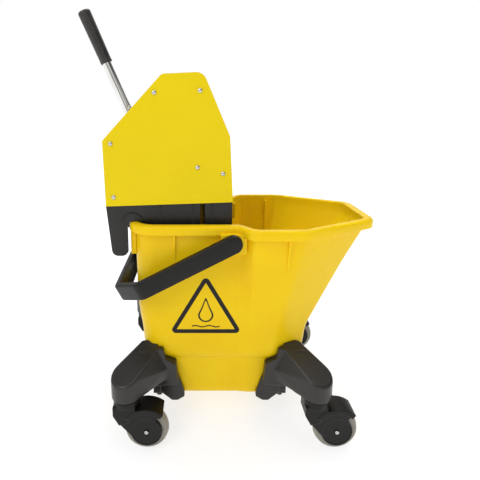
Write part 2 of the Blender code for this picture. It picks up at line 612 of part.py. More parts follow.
paint(bucket(), "yellow_moulding")
paint(yoke("rear_yoke", False), "black_plastic")
paint(yoke("front_yoke", True), "black_plastic")
castors()
paint(bail(), "black_plastic", (PIVOT[0], 0, PIVOT[1]))
paint(press_body(), "black_plastic")
paint(front_grille(), "black_plastic")
paint(jaw(), "black_plastic", (JAW[0], 0, JAW[1]))
paint(lever_hub(), "black_plastic", (LEVER[0], 0, LEVER[1]))
paint(rod("jaw_shaft", (JAW[0], -BODY_OUT, JAW[1]), (JAW[0], BODY_OUT, JAW[1]), 0.0050), "steel")
paint(rod("lever_shaft", (LEVER[0], -BODY_OUT, LEVER[1]), (LEVER[0], BODY_OUT, LEVER[1]), 0.0052), "steel")
paint(rod("drive_pin", (crank_pin()[0], -0.0460, crank_pin()[1]), (crank_pin()[0], 0.0460, crank_pin()[1]), 0.0049),
      "steel", (LEVER[0], 0, LEVER[1]))
up_lever = (-math.sin(math.radians(LEAN)), 0, math.cos(math.radians(LEAN)))
tube = [(0.0205, TUBE_R - 0.0015), (0.0205, TUBE_R), (LEVER_TIP - 0.0035, TUBE_R), (LEVER_TIP - 0.0035, TUBE_R - 0.0015)]
for node, profile, look in (("lever_tube", tube, "chrome"), ("lever_grip", grip_profile(), "black_rubber")):
    paint(loft(node, turned("g", profile, (LEVER[0], 0, LEVER[1]), up_lever, 18), True), look, (LEVER[0], 0, LEVER[1]))
for tag, sign in (("near", -1), ("far", 1)):
    paint(bail_pin("bail_pin_" + tag, sign), "black_plastic")
    paint(cover("cover_" + tag, sign), "yellow_sheet")
    for place, (rx, rz) in zip(("mid", "low", "pivot", "front"), RIVETS[2:]):
        paint(rivet("rivet_" + place + "_" + tag, rx, rz, sign), "steel")
    paint(yoke_bolt("yoke_bolt_rear_" + tag, BOLT[0], sign * BOLT[1]), "steel")
    paint(yoke_bolt("yoke_bolt_front_" + tag, 2 * MIRROR_X - BOLT[0], sign * BOLT[1]), "steel")
    paint(spring("lever_spring_" + tag, sign), "steel")
for tag, (rx, rz) in (("rear", RIVETS[0]), ("front", RIVETS[1])):
    ends = [(-0.0966, 0.0028), (-0.0966, 0.0070), (0.0966, 0.0070), (0.0966, 0.0028)]
    paint(tie_rod("tie_rod_" + tag, rx, rz), "steel")
    paint(loft("tie_tube_" + tag, turned("t", ends, (rx, 0, rz), (0, 1, 0), SMALL), True), "steel")
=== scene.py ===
"""Looks of the mop bucket with press wringer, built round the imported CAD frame.

Metres, +Z up, +X toward the spout.
"""

import math

import bmesh
import bpy
from mathutils import Matrix, Vector
from mathutils.bvhtree import BVHTree


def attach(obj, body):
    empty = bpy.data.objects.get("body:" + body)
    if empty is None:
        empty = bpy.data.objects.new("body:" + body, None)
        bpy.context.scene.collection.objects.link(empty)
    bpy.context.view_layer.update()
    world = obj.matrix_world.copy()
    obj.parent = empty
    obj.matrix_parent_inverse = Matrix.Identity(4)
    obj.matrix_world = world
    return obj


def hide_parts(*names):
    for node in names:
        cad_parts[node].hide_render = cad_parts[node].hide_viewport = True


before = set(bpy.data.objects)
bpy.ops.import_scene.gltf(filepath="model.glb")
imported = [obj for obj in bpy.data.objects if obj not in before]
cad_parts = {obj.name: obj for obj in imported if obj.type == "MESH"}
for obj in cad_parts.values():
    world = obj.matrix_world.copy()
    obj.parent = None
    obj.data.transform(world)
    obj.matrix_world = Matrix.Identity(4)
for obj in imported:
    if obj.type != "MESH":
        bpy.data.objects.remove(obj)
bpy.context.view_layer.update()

# Dimensions shared with the CAD part
WALL = 0.0035
RIM_TOP = 0.474
RIM_OUT = 0.013
PIVOT = (0.0050, 0.4446)  # bail pivot, x and z
BAIL_DROP = 28.0  # degrees below level
BAIL_Y = 0.163
BAIL_R = 0.2675
BAIL_W = 0.0365
BAIL_T = 0.015
LEVER = (-0.168, 0.575)  # lever axis, x and z
LEAN = 22.75  # of the lever from upright, in degrees
LEVER_TIP = 0.3615
GRIP_LEN = 0.1150
TUBE_R = 0.0100
JAW = (-0.110, 0.362)  # jaw axis, x and z
JAW_REST = -13.0  # degrees
CRANK_R = 0.055
CRANK_REST = -30.0  # degrees
CASTOR_X = (-0.2145, 0.1825)
CASTOR_Y = 0.180
MIRROR_X = -0.0153  # the front yoke is the rear one mirrored here
WHEEL_R = 0.0462
TRAIL = 0.042  # wheel axle behind the swivel axis
COVER_OUT = 0.105
COVER_T = 0.0015
BODY_OUT = 0.103
BODY_T = 0.006
SOCKET_LOW = 0.1215  # underside of a castor socket
STRAY = 1e-5  # keeps a sharp corner's radius above nothing

# z, rear x, rear half width, jog x, jog x, wide half width, taper x, front x, front half width
BODY = [
    (0.455, -0.1990, 0.1245, 0.022, 0.047, 0.1594, 0.147, 0.3007, 0.0735),
    (0.385, -0.1990, 0.1245, 0.023, 0.047, 0.1535, 0.135, 0.2595, 0.078),
    (0.300, -0.1985, 0.1243, 0.023, 0.046, 0.1400, 0.118, 0.2150, 0.086),
    (0.255, -0.1940, 0.1240, 0.023, 0.046, 0.1330, 0.110, 0.1917, 0.091),
    (0.228, -0.1894, 0.1235, 0.023, 0.046, 0.1295, 0.106, 0.1775, 0.094),
    (0.187, -0.1870, 0.1230, 0.023, 0.046, 0.1270, 0.104, 0.1736, 0.095),
    (0.173, -0.1820, 0.1195, 0.023, 0.046, 0.1235, 0.100, 0.1690, 0.092),
    (0.166, -0.1720, 0.1150, 0.023, 0.046, 0.1180, 0.095, 0.1600, 0.088),
    (0.163, -0.1620, 0.1125, 0.023, 0.046, 0.1155, 0.092, 0.1500, 0.086),
    (0.090, -0.1560, 0.1095, 0.023, 0.046, 0.1130, 0.090, 0.1440, 0.084),
    (0.073, -0.1510, 0.1060, 0.023, 0.046, 0.1090, 0.087, 0.1390, 0.081),
    (0.066, -0.1420, 0.0980, 0.023, 0.046, 0.1010, 0.080, 0.1300, 0.074),
]
RIM = BODY[0][:7] + (0.3055, 0.0715)  # plan of the rim's outer edge
# Outlines of a side cover and of a press wall: x, z, corner radius
COVER = [(-0.1357, 0.7727, 0.012), (-0.0545, 0.7765, 0.022), (-0.0004, 0.6514, 0.010),
         (0.0073, 0.5167, 0.001), (-0.2562, 0.5078, 0.001), (-0.2578, 0.6428, 0.008)]
RIVETS = [(-0.151, 0.737), (-0.061, 0.741), (-0.241, 0.637), (-0.239, 0.527), (-0.066, 0.589),
          (-0.014, 0.576)]
SIDE = [(0.0063, 0.5160, 0.002), (-0.0035, 0.6490, 0.008), (-0.0600, 0.7680, 0.020),
        (-0.1330, 0.7655, 0.010), (-0.2530, 0.6390, 0.006), (-0.2565, 0.5065, 0.004),
        (-0.2470, 0.3980, 0.013), (-0.2135, 0.3980, 0.013), (-0.2130, 0.4746, 0.003),
        (-0.1850, 0.4746, 0.003), (-0.1840, 0.4380, 0.010), (-0.1350, 0.3440, 0.012),
        (-0.0200, 0.3440, 0.010), (0.0063, 0.3720, 0.008)]
SIDES = (("near", -1), ("far", 1))


# ---------------------------------------------------------------- mesh tools
def put(name, bm):
    mesh = bpy.data.meshes.new(name)
    bm.to_mesh(mesh)
    bm.free()
    obj = bpy.data.objects.new(name, mesh)
    bpy.context.scene.collection.objects.link(obj)
    return obj


def solid(name, verts, faces):
    mesh = bpy.data.meshes.new(name)
    mesh.from_pydata([tuple(v) for v in verts], [], faces)
    bm = bmesh.new()
    bm.from_mesh(mesh)
    bpy.data.meshes.remove(mesh)
    bmesh.ops.remove_doubles(bm, verts=bm.verts, dist=1e-6)
    bmesh.ops.recalc_face_normals(bm, faces=bm.faces)
    if bm.calc_volume(signed=True) < 0:
        bmesh.ops.reverse_faces(bm, faces=bm.faces)
    return put(name, bm)


def loft(name, rings, closed=False):
    """Skin through rings of equal count: capped at both ends, or closed on itself."""
    n = len(rings[0])
    verts = [p for ring in rings for p in ring]
    faces = []
    for i in range(len(rings) if closed else len(rings) - 1):
        a, b = i * n, ((i + 1) % len(rings)) * n
        faces += [(a + j, a + (j + 1) % n, b + (j + 1) % n, b + j) for j in range(n)]
    if not closed:
        faces.append(tuple(reversed(range(n))))
        faces.append(tuple(range((len(rings) - 1) * n, len(rings) * n)))
    return solid(name, verts, faces)


def fillet(a, p, b, r, steps):
    """Points of the arc of radius r that rounds corner p between a and b."""
    p, a, b = Vector(p), Vector(a) - Vector(p), Vector(b) - Vector(p)
    turn = a.angle(b)
    if turn > math.radians(179.5):
        return [tuple(p)] * (steps + 1)
    reach = min(max(r, STRAY) / math.tan(turn / 2), 0.48 * min(a.length, b.length))
    r = reach * math.tan(turn / 2)
    centre = p + (a.normalized() + b.normalized()).normalized() * (r / math.sin(turn / 2))
    s, e = p + a.normalized() * reach - centre, p + b.normalized() * reach - centre
    sweep = math.atan2(s.x * e.y - s.y * e.x, s.dot(e))
    out = []
    for k in range(steps + 1):
        c, d = math.cos(sweep * k / steps), math.sin(sweep * k / steps)
        out.append((centre.x + s.x * c - s.y * d, centre.y + s.x * d + s.y * c))
    return out


def rounded(corners, steps=8):
    out, n = [], len(corners)
    for i in range(n):
        out += fillet(corners[i - 1][:2], corners[i][:2], corners[(i + 1) % n][:2], corners[i][2], steps)
    return out


def open_path(corners, steps=8):
    out = [tuple(corners[0][:2])]
    for i in range(1, len(corners) - 1):
        out += fillet(corners[i - 1][:2], corners[i][:2], corners[i + 1][:2], corners[i][2], steps)
    return out + [tuple(corners[-1][:2])]


def prism(name, outline, y0, y1):
    return loft(name, [[(x, y0, z) for x, z in outline], [(x, y1, z) for x, z in outline]])


def box(name, lo, hi):
    return prism(name, [(lo[0], lo[2]), (hi[0], lo[2]), (hi[0], hi[2]), (lo[0], hi[2])], lo[1], hi[1])


def turned(profile, place, axis, sides=48):
    """Rings of a profile, given as distance along the axis and radius."""
    axis = Vector(axis).normalized()
    u = axis.orthogonal().normalized()
    v = axis.cross(u)
    place = Vector(place)
    rings = []
    for along, r in profile:
        rings.append([place + axis * along + r * (u * math.cos(2 * math.pi * (i + 0.5) / sides)
                                                  + v * math.sin(2 * math.pi * (i + 0.5) / sides))
                      for i in range(sides)])
    return rings


def rod(name, start, end, r, sides=32):
    length = (Vector(end) - Vector(start)).length
    return loft(name, turned([(0, r), (length, r)], start, Vector(end) - Vector(start), sides))


def hull(name, points):
    bm = bmesh.new()
    for p in points:
        bm.verts.new(p)
    found = bmesh.ops.convex_hull(bm, input=bm.verts)
    bmesh.ops.delete(bm, geom=list(set(found["geom_interior"] + found["geom_unused"])), context="VERTS")
    bmesh.ops.dissolve_limit(bm, angle_limit=0.01, verts=bm.verts, edges=bm.edges)
    bmesh.ops.recalc_face_normals(bm, faces=bm.faces)
    return put(name, bm)


def apply(obj, kind, **values):
    mod = obj.modifiers.new("m", kind)
    for key, value in values.items():
        setattr(mod, key, value)
    with bpy.context.temp_override(object=obj, active_object=obj, selected_objects=[obj]):
        bpy.ops.object.modifier_apply(modifier=mod.name)
    return obj


def boolean(obj, how, others):
    for other in others:
        apply(obj, "BOOLEAN", operation=how, solver="EXACT", object=other)
        bpy.data.objects.remove(other)
    return obj


def add(obj, *others):
    return boolean(obj, "UNION", others)


def cut(obj, *others):
    return boolean(obj, "DIFFERENCE", others)


def bevel(obj, width, segments=3, angle=35):
    return apply(obj, "BEVEL", width=width, segments=segments, limit_method="ANGLE",
                 angle_limit=math.radians(angle), use_clamp_overlap=True)


def soften(obj, voxel, rounds, keep):
    """One skin with gently rounded edges, as a moulding has."""
    apply(obj, "REMESH", mode="VOXEL", voxel_size=voxel, adaptivity=0.0)
    apply(obj, "SMOOTH", factor=0.5, iterations=rounds)
    apply(obj, "DECIMATE", ratio=keep)
    return obj


def join(name, objs):
    bm = bmesh.new()
    for obj in objs:
        bm.from_mesh(obj.data)
        bpy.data.objects.remove(obj)
    return put(name, bm)


def finish(obj, mat, body, nodes=(), angle=30):
    """Gives a piece its material, shading and body, and hides the CAD nodes it stands for."""
    obj.data.materials.clear()
    obj.data.materials.append(mat)
    obj.data.shade_smooth()
    obj.data.set_sharp_from_angle(angle=math.radians(angle))
    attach(obj, body)
    if nodes:
        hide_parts(*nodes)
    return obj


def arc(cx, cz, r, a0, a1, steps):
    return [(cx + r * math.cos(math.radians(a0 + (a1 - a0) * i / steps)),
             cz + r * math.sin(math.radians(a0 + (a1 - a0) * i / steps))) for i in range(steps + 1)]


# ---------------------------------------------------------------- materials
def linear(code):
    rgb = [int(code[i:i + 2], 16) / 255 for i in (0, 2, 4)]
    return tuple(c / 12.92 if c <= 0.04045 else ((c + 0.055) / 1.055) ** 2.4 for c in rgb) + (1.0,)


class Mat:
    """Small helper over a material's node tree."""

    def __init__(self, name):
        self.mat = bpy.data.materials.new(name)
        self.mat.use_nodes = True
        self.tree = self.mat.node_tree
        self.shader = self.tree.nodes["Principled BSDF"]
        self.coord = self.node("ShaderNodeTexCoord").outputs["Object"]

    def node(self, kind, **values):
        n = self.tree.nodes.new(kind)
        for key, value in values.items():
            setattr(n, key, value)
        return n

    def link(self, a, b):
        self.tree.links.new(a, b)

    def noise(self, scale, detail=4.0, rough=0.5, stretch=None):
        n = self.node("ShaderNodeTexNoise")
        n.inputs["Scale"].default_value = scale
        n.inputs["Detail"].default_value = detail
        n.inputs["Roughness"].default_value = rough
        if stretch:
            m = self.node("ShaderNodeMapping")
            m.inputs["Scale"].default_value = stretch
            self.link(self.coord, m.inputs["Vector"])
            self.link(m.outputs[0], n.inputs["Vector"])
        else:
            self.link(self.coord, n.inputs["Vector"])
        return n.outputs["Fac"]

    def ramp(self, fac, low, high, a, b):
        n = self.node("ShaderNodeMapRange")
        n.inputs["From Min"].default_value, n.inputs["From Max"].default_value = low, high
        n.inputs["To Min"].default_value, n.inputs["To Max"].default_value = a, b
        self.link(fac, n.inputs["Value"])
        return n.outputs[0]

    def mix(self, fac, a, b):
        n = self.node("ShaderNodeMix", data_type="RGBA")
        for socket, value in ((n.inputs["Factor"], fac), (n.inputs["A"], a), (n.inputs["B"], b)):
            if isinstance(value, (tuple, float, int)):
                socket.default_value = value
            else:
                self.link(value, socket)
        return n.outputs["Result"]

    def math(self, op, a, b):
        n = self.node("ShaderNodeMath", operation=op)
        for socket, value in zip(n.inputs, (a, b)):
            if isinstance(value, (float, int)):
                socket.default_value = value
            else:
                self.link(value, socket)
        return n.outputs[0]

    def bump(self, layers):
        last = None
        for height, strength, distance in layers:
            n = self.node("ShaderNodeBump")
            n.inputs["Strength"].default_value = strength
            n.inputs["Distance"].default_value = distance
            self.link(height, n.inputs["Height"])
            if last:
                self.link(last, n.inputs["Normal"])
            last = n.outputs["Normal"]
        self.link(last, self.shader.inputs["Normal"])


GLOSS_DRIFT = 0.06


def moulded(name, base, deep, rough, grain, strength, scuff=0.0, shine=0.5):
    """Moulded plastic: slight colour drift, fine texture, uneven gloss and faint scuffs."""
    m = Mat(name)
    drift = m.ramp(m.noise(9.0, 3.0), 0.35, 0.65, 0.0, 1.0)
    colour = m.mix(drift, linear(base), linear(deep))
    scratch = m.ramp(m.noise(60.0, 6.0, 0.7, (1.0, 1.0, 7.0)), 0.62, 0.80, 0.0, 1.0)
    if scuff:
        r, g, b, _ = linear(base)
        pale = (min(1, r * 1.15 + 0.02), min(1, g * 1.15 + 0.02), min(1, b * 1.15 + 0.02), 1.0)
        colour = m.mix(m.math("MULTIPLY", scratch, scuff), colour, pale)
    m.link(colour, m.shader.inputs["Base Color"])
    gloss = m.ramp(m.noise(26.0, 5.0, 0.6), 0.3, 0.7, rough - GLOSS_DRIFT, rough + GLOSS_DRIFT)
    m.link(m.math("ADD", gloss, m.math("MULTIPLY", scratch, 0.08)), m.shader.inputs["Roughness"])
    m.shader.inputs["IOR"].default_value = 1.5
    m.shader.inputs["Specular IOR Level"].default_value = shine
    m.bump([(m.noise(7.0, 2.0), 0.10, 0.004), (m.noise(grain, 2.0), strength, 0.0004)])
    return m.mat


def metal(name, colour, rough):
    m = Mat(name)
    m.shader.inputs["Metallic"].default_value = 1.0
    tint = m.mix(m.ramp(m.noise(30.0, 4.0), 0.35, 0.7, 0.0, 1.0), linear(colour), tuple(
        c * 0.86 for c in linear(colour)[:3]) + (1.0,))
    m.link(tint, m.shader.inputs["Base Color"])
    m.link(m.ramp(m.noise(240.0, 3.0), 0.3, 0.7, rough * 0.7, rough * 1.3), m.shader.inputs["Roughness"])
    m.bump([(m.noise(500.0, 2.0), 0.05, 0.0002)])
    return m.mat


YELLOW = moulded("bucket_plastic", "F6D012", "F3CA10", 0.30, 1400.0, 0.10, scuff=0.20, shine=0.13)
SHEET = moulded("cover_plastic", "ECD114", "E9CE12", 0.30, 900.0, 0.06, scuff=0.15, shine=0.13)
BLACK = moulded("black_plastic", "2B2926", "262421", 0.34, 1600.0, 0.12, scuff=0.35, shine=0.45)
BLACK_DEEP = moulded("black_frame", "191816", "161513", 0.42, 1600.0, 0.16, scuff=0.25, shine=0.24)
BLACK_FINE = moulded("black_press", "22211E", "1D1C1A", 0.40, 1200.0, 0.12, scuff=0.25, shine=0.35)
INK = moulded("label_ink", "171512", "141210", 0.45, 1200.0, 0.04, shine=0.25)
CHROME = metal("chrome", "E4E3DF", 0.07)
STEEL = metal("zinc_steel", "C9C9C6", 0.26)
BOLT_STEEL = metal("dark_steel", "55534F", 0.38)


def tyre_look():
    m = Mat("grey_tyre")
    dust = m.ramp(m.noise(55.0, 6.0, 0.65), 0.42, 0.75, 0.0, 0.75)
    m.link(m.mix(dust, linear("8F8B80"), linear("A5A094")), m.shader.inputs["Base Color"])
    m.link(m.ramp(m.noise(90.0, 4.0), 0.3, 0.7, 0.50, 0.68), m.shader.inputs["Roughness"])
    m.bump([(m.noise(900.0, 3.0), 0.25, 0.0003), (m.noise(60.0, 2.0), 0.12, 0.001)])
    return m.mat


def grip_look():
    m = Mat("grip_rubber")
    wear = m.ramp(m.noise(40.0, 6.0, 0.7), 0.45, 0.75, 0.0, 0.6)
    m.link(m.mix(wear, linear("2A2826"), linear("3C3935")), m.shader.inputs["Base Color"])
    m.link(m.ramp(m.noise(120.0, 4.0), 0.3, 0.7, 0.24, 0.36), m.shader.inputs["Roughness"])
    m.bump([(m.noise(1500.0, 2.0), 0.12, 0.0003)])
    return m.mat


TYRE = tyre_look()
GRIP = grip_look()


# ---------------------------------------------------------------- bucket
def plan(level, out, steps=8):
    """Outline of the tub at one level, moved outward by out."""
    z, xr, yr, xa, xb, yw, xw, xf, yf = level
    half = [(xr, yr, 0.045, 1), (xa, yr, 0.014, -1), (xb, yw, 0.012, 1), (xw, yw, 0.045, 1),
            (xf, yf, 0.024, 1)]
    pts = [(x, -y, r, s) for x, y, r, s in half] + [(x, y, r, s) for x, y, r, s in reversed(half)]
    moved = []
    for i in range(len(pts)):
        p, a, b = (Vector(pts[k % len(pts)][:2]) for k in (i, i - 1, i + 1))
        d0, d1 = (p - a).normalized(), (b - p).normalized()
        n0, n1 = Vector((d0.y, -d0.x)), Vector((d1.y, -d1.x))
        m = (n0 + n1).normalized()
        q = p + m * (out / max(m.dot(n0), 0.3))
        moved.append((q.x, q.y, max(pts[i][2] + pts[i][3] * out, 0.004)))
    return rounded(moved, steps)


def blend_level(a, b, t):
    return tuple(p + (q - p) * t for p, q in zip(a, b))


def smooth_levels(levels, passes=2):
    for _ in range(passes):
        out = [levels[0]]
        for a, b in zip(levels, levels[1:]):
            out += [blend_level(a, b, 0.25), blend_level(a, b, 0.75)]
        levels = out + [levels[-1]]
    return levels


LEVELS = smooth_levels(BODY)


def level_at(z):
    for a, b in zip(BODY, BODY[1:]):
        if b[0] <= z <= a[0]:
            return blend_level(b, a, (z - b[0]) / (a[0] - b[0]))
    return BODY[0]


def ring(level, out, z):
    return [(x, y, z) for x, y in plan(level, out)]


def bucket_shell():
    top = BODY[0]
    rings = [ring(v, 0.0, v[0]) for v in reversed(LEVELS)]
    lip = open_path([(0.0, 0.4535, 0), (RIM_OUT, 0.4528, 0.0030), (RIM_OUT, RIM_TOP, 0.0085),
                     (-WALL, RIM_TOP, 0.0030), (-WALL, 0.4640, 0)], 6)
    rings += [ring(blend_level(top, RIM, min(1.0, max(0.0, out / 0.0045))), out, z) for out, z in lip]
    rings += [ring(v, -WALL, v[0] + (WALL if v[0] < 0.3 else 0.0)) for v in LEVELS[1:]]
    return loft("bucket_shell", rings)


shell = bucket_shell()
tree = BVHTree.FromObject(shell, bpy.context.evaluated_depsgraph_get())
finish(shell, YELLOW, "bucket", ["bucket"], 38)


def bucket_trim():
    """Pads under the bail pivots, ribs under the rim at the sides and fins at the rear."""
    extra = []
    for _, s in SIDES:
        pad = rounded([(-0.0190, 0.4600, 0.001), (-0.0190, 0.4200, 0.005), (0.0330, 0.4180, 0.005),
                       (0.0330, 0.4600, 0.001)], 4)
        extra.append(bevel(prism("pad", pad, *sorted((s * 0.118, s * 0.1515))), 0.0022))
        boss = rounded([(-0.0100, 0.4590, 0.001), (-0.0100, 0.4270, 0.004), (0.0250, 0.4270, 0.004),
                        (0.0250, 0.4590, 0.001)], 4)
        extra.append(bevel(prism("boss", boss, *sorted((s * 0.118, s * 0.1517))), 0.0012))
        for x, z, y0, y1 in ((-0.114, 0.388, 0.1230, 0.1345), (0.117, 0.352, 0.1480, 0.1690)):
            low = level_at(z)
            y_low = (low[2] if x < 0 else low[5]) - 0.001
            skin = [(x - 0.0025, s * y0, 0.460), (x - 0.0025, s * y1, 0.460), (x - 0.0025, s * y_low, z),
                    (x - 0.0025, s * (y0 - 0.0009), z)]
            extra.append(bevel(loft("rib", [skin, [(p[0] + 0.005, p[1], p[2]) for p in skin]]), 0.0014))
        for y in (0.092, 0.046):
            fin = box("fin", (-0.2085, s * y - 0.0025, 0.400), (-0.1970, s * y + 0.0025, 0.458))
            extra.append(bevel(fin, 0.0014))
    return join("bucket_trim", extra)


finish(bucket_trim(), YELLOW, "bucket")


# ---------------------------------------------------------------- label
INK_LIFT = 0.00022


def on_wall(x, z, s):
    """Point of the bucket's side wall at x and z, lifted by the ink's thickness."""
    hit, normal, _, _ = tree.ray_cast(Vector((x, s * 0.4, z)), Vector((0, -s, 0)))
    return hit + normal * (INK_LIFT if normal.y * s > 0 else -INK_LIFT)


def strip(points_a, points_b, s, closed=True):
    """Band of ink between two rows of points on the wall."""
    verts = [on_wall(x, z, s) for x, z in points_a] + [on_wall(x, z, s) for x, z in points_b]
    n = len(points_a)
    faces = [(i, (i + 1) % n, n + (i + 1) % n, n + i) for i in range(n if closed else n - 1)]
    return verts, faces


def ring_pair(corners, width, r_out):
    """A closed band: the outline and the same outline moved inward by width."""
    n = len(corners)
    inner = []
    for i in range(n):
        p, a, b = (Vector(corners[k % n]) for k in (i, i - 1, i + 1))
        u, v = (a - p).normalized(), (b - p).normalized()
        inner.append(tuple(p + (u + v).normalized() * (width / math.sin(u.angle(v) / 2))))
    outer_line = rounded([(x, z, r_out) for x, z in corners], 8)
    inner_line = rounded([(x, z, max(r_out - width, 0.0012)) for x, z in inner], 8)
    a, b = [], []
    m = len(outer_line)
    for i in range(m):
        p, q = outer_line[i], outer_line[(i + 1) % m]
        u, v = inner_line[i], inner_line[(i + 1) % m]
        k = max(1, int(math.dist(p, q) / 0.004))
        for t in range(k):
            a.append((p[0] + (q[0] - p[0]) * t / k, p[1] + (q[1] - p[1]) * t / k))
            b.append((u[0] + (v[0] - u[0]) * t / k, u[1] + (v[1] - u[1]) * t / k))
    return a, b


def drop_outline(cx, cz, r, tip):
    """Plain water drop: a round belly drawn up to a point."""
    out = []
    for i in range(64):
        t = 2 * math.pi * i / 64
        lift = max(0.0, math.sin(t)) ** 3 * (tip - r)
        narrow = 1.0 - 0.55 * max(0.0, math.sin(t)) ** 2
        out.append((cx + r * math.cos(t) * narrow, cz + r * math.sin(t) + lift))
    return out


def label(name, s):
    """Plain mark on one side wall: a triangle with a water drop over a wavy line."""
    verts, faces = [], []

    def take(pair):
        base = len(verts)
        verts.extend(pair[0])
        faces.extend(tuple(base + i for i in f) for f in pair[1])

    mid, low, high, half = -0.0485, 0.2292, 0.3650, 0.0790
    take(strip(*ring_pair([(mid - half, low), (mid + half, low), (mid, high)], 0.0092, 0.0085), s))
    drop = drop_outline(mid, 0.2720, 0.0165, 0.0400)
    small = [(mid + (x - mid) * 0.78, 0.2740 + (z - 0.2740) * 0.83) for x, z in drop]
    take(strip(drop, small, s))
    wave = [(mid - 0.030 + 0.060 * i / 30, 0.2470 + 0.0016 * math.sin(i / 30 * 4 * math.pi))
            for i in range(31)]
    take(strip(wave, [(x, z - 0.0026) for x, z in wave], s, closed=False))
    finish(solid(name, verts, faces), INK, "bucket")


for tag, sign in SIDES:
    label("label_" + tag, sign)


# ---------------------------------------------------------------- undercarriage
def bucket_block():
    """The bucket's outer skin with a little play, as a cutter."""
    play = 0.0008
    levels = [v for v in BODY if v[0] < 0.31]
    rings = [[(x, y, levels[-1][0] - play) for x, y in plan(levels[-1], play, 3)]]
    for v in reversed(levels):
        z = v[0] - (play if v[0] < 0.17 else 0.0)
        rings.append([(x, y, z) for x, y in plan(v, play, 3)])
    return loft("bucket_block", rings)


# x, y, z of an arm's root where it leaves the tub
ARM = [(-0.1539, 0.1385, 0.1965), (-0.1539, 0.1080, 0.2080), (-0.1870, 0.1080, 0.2030),
       (-0.1960, 0.1080, 0.1930), (-0.1960, 0.1080, 0.1500), (-0.1680, 0.1080, 0.1225),
       (-0.1680, 0.1385, 0.1225), (-0.1350, 0.1385, 0.1260), (-0.1350, 0.1080, 0.1260),
       (-0.1310, 0.1385, 0.1500), (-0.1310, 0.1080, 0.1500)]


def arm_top(x, y):
    """Height of the flat sloping top of an arm, with x as on the rear arm."""
    return 0.1965 + 0.1517 * (x + 0.1539) - 0.3777 * (y - 0.1385)


def yoke(name, front):
    """Cradle, bar and two arms whose flat tops slope down to the castor sockets."""
    def at(x):
        return x if not front else 2 * MIRROR_X - x

    high = [(-0.1900, 0.1932, 0.006), (-0.1960, 0.1850, 0.006), (-0.1960, 0.1500, 0.010),
            (-0.1740, 0.1200, 0.006), (-0.1660, 0.1090, 0.004), (-0.1500, 0.1080, 0.002),
            (-0.1085, 0.1120, 0.002), (-0.1130, 0.1610, 0.004), (-0.1360, 0.1740, 0.004),
            (-0.1402, 0.1985, 0.004)]
    low = [(-0.1500, 0.1200, 0.002), (-0.1500, 0.0840, 0.003), (-0.1440, 0.0770, 0.003),
           (-0.1240, 0.0600, 0.004), (-0.1110, 0.0600, 0.005), (-0.0950, 0.0700, 0.004),
           (-0.0965, 0.0830, 0.004), (-0.1050, 0.1120, 0.010), (-0.1090, 0.1260, 0.002)]
    if front:
        high = [(x - 0.006 if x < -0.17 and z > 0.14 else x, z, r) for x, z, r in high]
    high, low = ([(at(x), z) for x, z in rounded(side, 5)] for side in (high, low))
    cx = CASTOR_X[1] if front else CASTOR_X[0]
    pieces = []
    for _, s in SIDES:
        pieces.append(prism("cradle", high, *sorted((s * 0.095, s * 0.1370))))
        pieces.append(prism("foot", low, *sorted((s * 0.074, s * 0.1215))))
        arm = [(at(x), s * y, z) for x, y, z in ARM]
        for r, drop in ((0.0304, None), (0.0304, 0.0040), (0.0298, 0.0020), (0.0286, 0.0008), (0.0268, 0.0)):
            for i in range(72):
                t = 2 * math.pi * i / 72
                x, y = cx + r * math.cos(t), CASTOR_Y + r * math.sin(t)
                arm.append((x, s * y, SOCKET_LOW if drop is None else arm_top(at(x), y) - drop))
        pieces.append(hull("arm", arm))
    ends = sorted((at(-0.1460), at(-0.1090)))
    bar = box(name, (ends[0], -0.0990, 0.0607), (ends[1], 0.0990, 0.0790))
    ends = sorted((at(-0.1680), at(-0.1430)))
    pieces.append(box("back", (ends[0], -0.1000, 0.0611), (ends[1], 0.1000, 0.0980)))
    add(bar, *pieces)
    cut(bar, bucket_block())
    cut(bar, *[rod("hole", (cx, s * CASTOR_Y, 0.100), (cx, s * CASTOR_Y, 0.1540), 0.00575) for _, s in SIDES])
    soften(bar, 0.0014, 4, 0.30)
    return finish(bar, BLACK, "bucket", [name.replace("_skin", "")], 50)


yoke("rear_yoke_skin", False)
yoke("front_yoke_skin", True)


CHEEK_R = 0.0322  # round cheek of a fork
DISH_R = 0.0305  # shallow dish in the cheek


